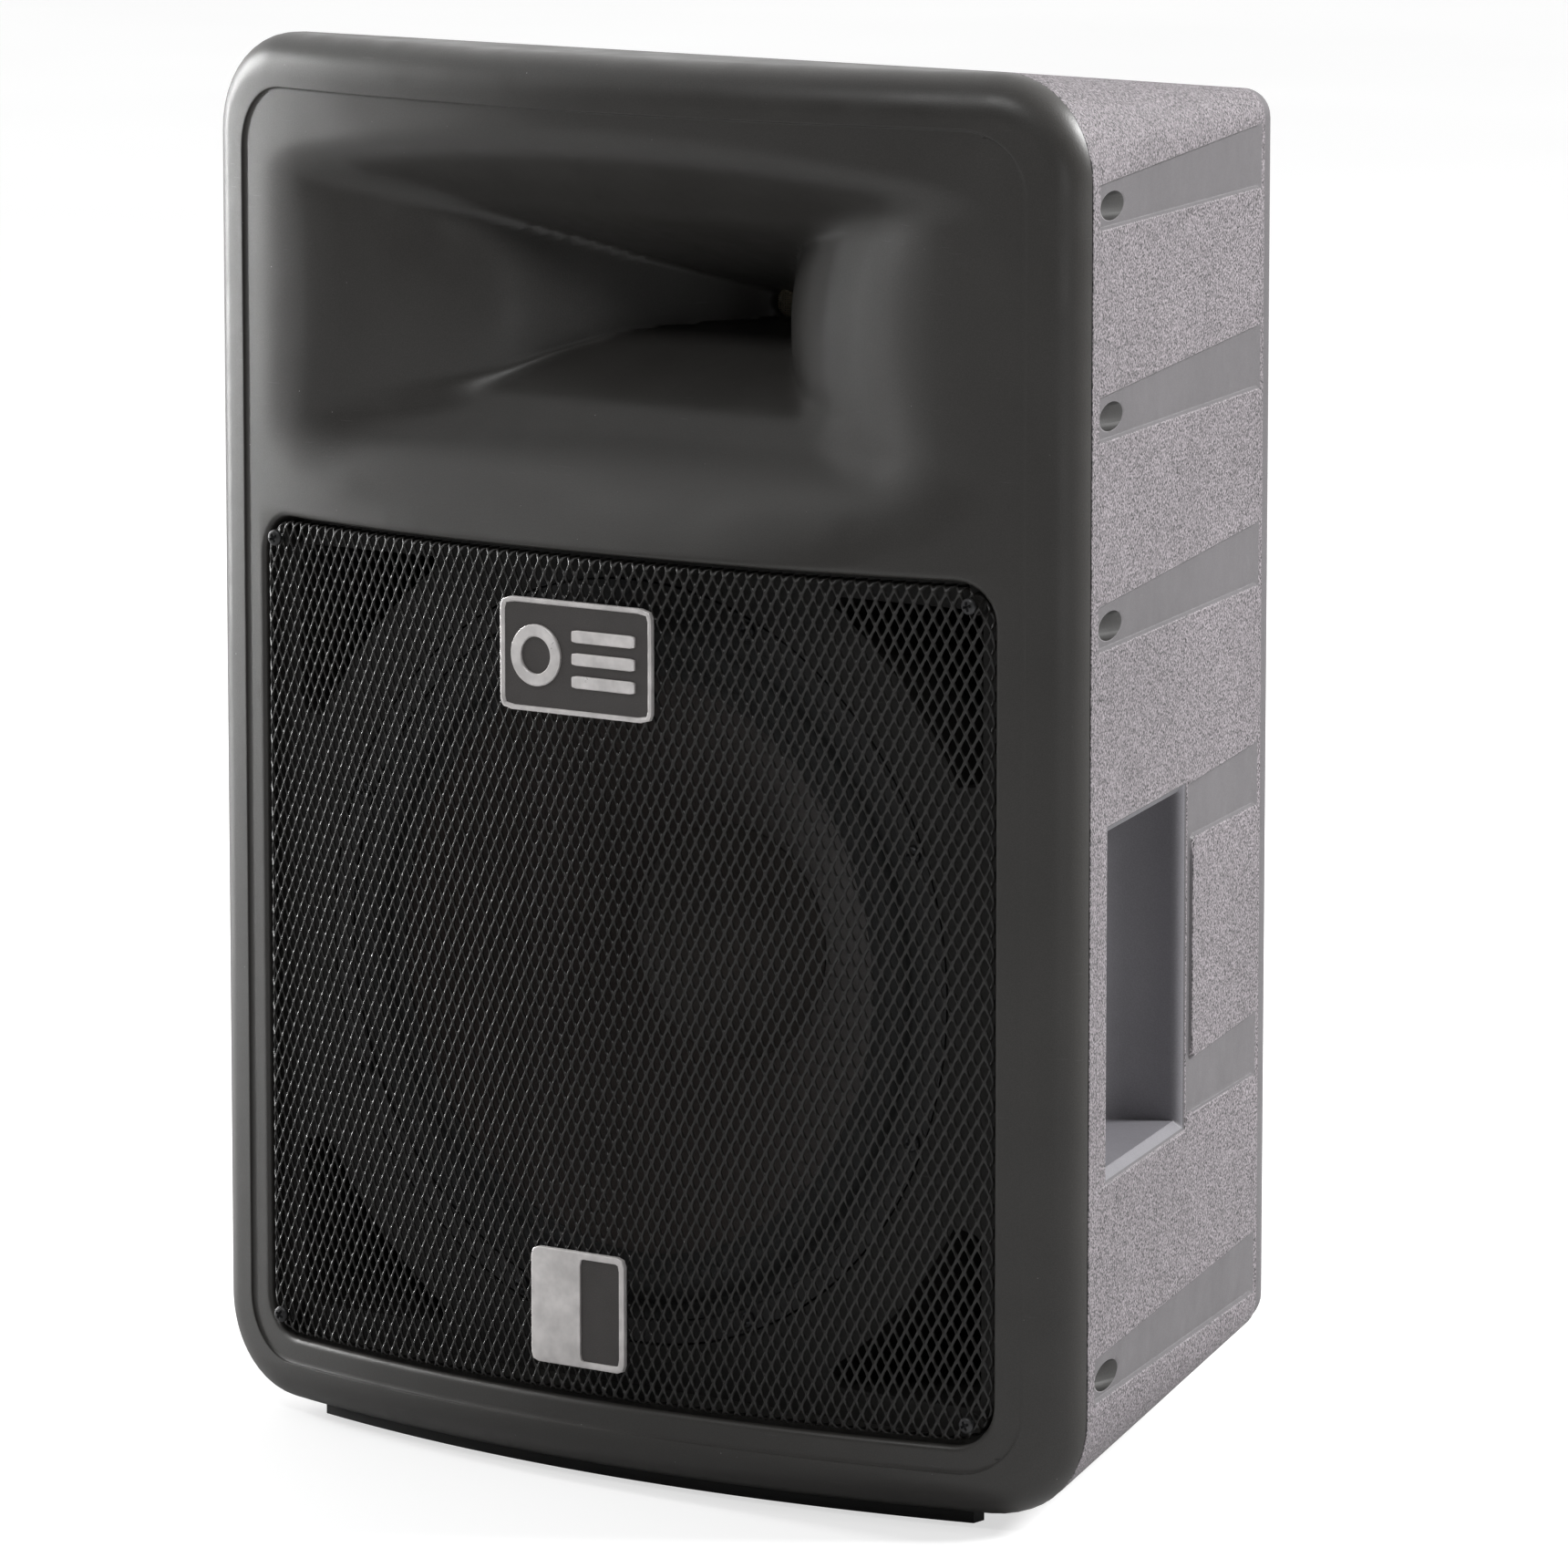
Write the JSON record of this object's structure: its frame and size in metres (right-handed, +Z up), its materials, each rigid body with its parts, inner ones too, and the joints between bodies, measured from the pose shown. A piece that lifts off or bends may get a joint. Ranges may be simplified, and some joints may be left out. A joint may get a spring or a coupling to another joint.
{
  "type": "pa speaker cabinet",
  "caption": "Portable PA speaker cabinet: bowed front with moulded horn, mesh grille over a large woofer, tapered rear shell with side handle pockets and a pole socket.",
  "frame": {"origin": "on the underside of the front foot, on the middle line, in the plane where the front and rear shells meet", "axes": "+X to the right seen from the front, the front faces -Y, +Z up"},
  "size_m": [0.524, 0.3851, 0.692],
  "materials": {
    "front_plastic": "satin charcoal moulded plastic with a fine grain",
    "rear_plastic": "charcoal moulded plastic with a pebble grain",
    "black_rubber": "dull black foam rubber",
    "dark_screw": "black coated steel",
    "grille_steel": "black powder coated steel sheet",
    "plated_screw": "zinc plated steel",
    "badge_metal": "satin silver rim on a dark grained plate",
    "emblem_metal": "bright satin silver",
    "cast_frame": "black painted casting",
    "cone_paper": "dark pressed paper with a brown tint",
    "cap_paper": "dark pressed paper",
    "copper_wire": "enamelled copper",
    "spider_cloth": "resin-treated woven cloth",
    "zinc_steel": "zinc plated steel",
    "ferrite": "dull grey-black ferrite",
    "terminal_plastic": "red phenolic",
    "screen_mesh": "fine woven wire",
    "plug_plastic": "black moulded plastic",
    "dome_metal": "bare thin metal",
    "board": "green circuit board",
    "capacitor_film": "yellow film capacitor wrap",
    "resistor_ceramic": "white ceramic",
    "plate_paint": "black powder coated steel",
    "red_cable": "red cable jacket",
    "blue_cable": "blue cable jacket",
    "black_cable": "black cable jacket",
    "wadding": "cream fibre wadding",
    "socket_plastic": "black reinforced plastic",
    "foot_rubber": "black rubber"
  },
  "bodies": {
    "cabinet": {"front_shell": "front_plastic", "rear_shell": "rear_plastic", "shell_gasket": "black_rubber", "shell_screws": "dark_screw", "grille": "grille_steel", "grille_screws": "plated_screw", "name_badge": "badge_metal", "name_emblem": "emblem_metal", "model_badge": "badge_metal", "badge_nuts": "plated_screw", "woofer_frame": "cast_frame", "woofer_gasket": "black_rubber", "woofer_surround": "black_rubber", "woofer_spider": "spider_cloth", "woofer_top_plate": "zinc_steel", "woofer_magnet": "ferrite", "woofer_back_plate": "zinc_steel", "woofer_terminals": "terminal_plastic", "woofer_leads": "copper_wire", "woofer_screws": "dark_screw", "throat_screen": "screen_mesh", "hf_gasket": "black_rubber", "hf_front_plate": "zinc_steel", "hf_magnet": "ferrite", "hf_top_plate": "zinc_steel", "hf_phase_plug": "plug_plastic", "hf_suspension": "spider_cloth", "hf_diaphragm_ring": "dome_metal", "hf_rear_cover": "plug_plastic", "hf_cover_screws": "plated_screw", "hf_bolts": "plated_screw", "crossover_board": "board", "inductor_coils": "copper_wire", "capacitors": "capacitor_film", "resistors": "resistor_ceramic", "crossover_screws": "plated_screw", "input_plate": "plate_paint", "twist_sockets": "plug_plastic", "socket_screws": "plated_screw", "jack_sockets": "plug_plastic", "jack_nuts": "plated_screw", "input_plate_screws": "plated_screw", "woofer_cable": "red_cable", "horn_cable": "blue_cable", "input_cable": "black_cable", "damping_batts": "wadding", "pole_socket": "socket_plastic", "pole_socket_screws": "plated_screw", "front_foot": "foot_rubber", "rear_feet": "foot_rubber", "foot_screws": "plated_screw"},
    "woofer_moving": {"woofer_cone": "cone_paper", "woofer_dust_cap": "cap_paper", "woofer_voice_coil": "copper_wire"},
    "horn_driver_moving": {"hf_diaphragm": "dome_metal", "hf_voice_coil": "copper_wire"}
  },
  "joints": [
    {"name": "woofer_excursion", "type": "slide", "parent": "cabinet", "child": "woofer_moving", "axis": [0, -1, 0], "range_m": [-0.006, 0.006], "stiffness_N_per_m": 4000, "deforming": ["woofer_surround", "woofer_spider", "woofer_leads"]},
    {"name": "horn_diaphragm_excursion", "type": "slide", "parent": "cabinet", "child": "horn_driver_moving", "axis": [0, -1, 0], "range_m": [-0.0004, 0.0004], "stiffness_N_per_m": 9000, "deforming": ["hf_suspension"]}
  ]
}
